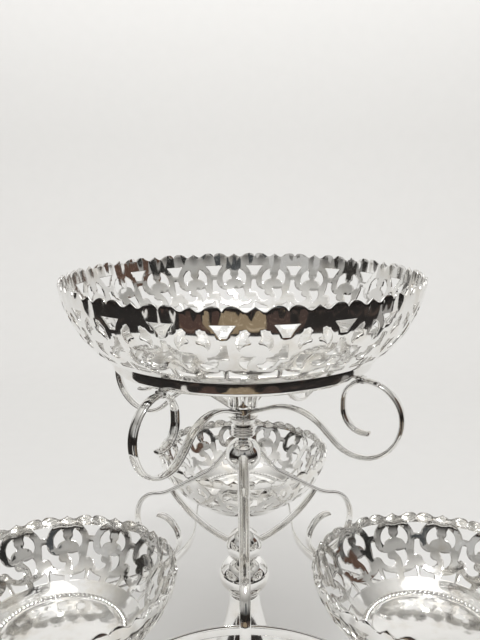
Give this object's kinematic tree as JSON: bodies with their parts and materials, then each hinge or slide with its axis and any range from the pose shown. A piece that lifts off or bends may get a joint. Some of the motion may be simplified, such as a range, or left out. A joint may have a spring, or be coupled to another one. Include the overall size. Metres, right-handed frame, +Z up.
{
  "type": "epergne",
  "caption": "Silver-plate table epergne: a column on a trumpet foot carries a wide pierced bowl on scrolls and smaller lift-off pierced baskets on a trefoil frame held by scroll arms.",
  "frame": {"origin": "centre of the base plate's underside, on the table, under the column's axis", "axes": "+Z up along the column, +Y towards the rear basket, +X to the right as seen from the picture's side"},
  "size_m": [0.3674, 0.3375, 0.3201],
  "materials": {
    "silver_plate": "polished silver plate",
    "rod": "plain turned brass",
    "plate_steel": "satin plate",
    "loading": "raw casting"
  },
  "bodies": {
    "stand": {"base_plate": "plate_steel", "base_weight": "loading", "foot": "silver_plate", "foot_collar": "silver_plate", "knop": "silver_plate", "lower_ball": "silver_plate", "stem_tube": "silver_plate", "upper_ball": "silver_plate", "neck_spool": "silver_plate", "screw_collar": "silver_plate", "saucer": "silver_plate", "scroll_hub": "silver_plate", "calyx": "silver_plate", "tie_rod": "rod", "tie_nut": "rod", "bowl_spigot": "rod", "scroll_1": "silver_plate", "scroll_2": "silver_plate", "scroll_3": "silver_plate", "scroll_4": "silver_plate", "bowl_lug_1": "silver_plate", "bowl_lug_2": "silver_plate", "bowl_lug_3": "silver_plate", "bowl_lug_4": "silver_plate", "arm_1": "silver_plate", "arm_2": "silver_plate", "arm_3": "silver_plate", "brace_1": "silver_plate", "brace_2": "silver_plate", "brace_3": "silver_plate", "basket_frame": "silver_plate"},
    "bowl": {"top_bowl": "silver_plate", "bowl_band": "silver_plate", "bowl_socket": "silver_plate"},
    "rear_basket": {"basket_1": "silver_plate", "basket_foot_1": "silver_plate"},
    "left_basket": {"basket_2": "silver_plate", "basket_foot_2": "silver_plate"},
    "right_basket": {"basket_3": "silver_plate", "basket_foot_3": "silver_plate"}
  },
  "joints": [
    {"name": "bowl_lift", "type": "slide", "parent": "stand", "child": "bowl", "axis": [0, 0, 1], "range_m": [0, 0.06]},
    {"name": "rear_basket_lift", "type": "slide", "parent": "stand", "child": "rear_basket", "axis": [0, 0, 1], "range_m": [0, 0.045]},
    {"name": "left_basket_lift", "type": "slide", "parent": "stand", "child": "left_basket", "axis": [0, 0, 1], "range_m": [0, 0.045]},
    {"name": "right_basket_lift", "type": "slide", "parent": "stand", "child": "right_basket", "axis": [0, 0, 1], "range_m": [0, 0.045]}
  ]
}
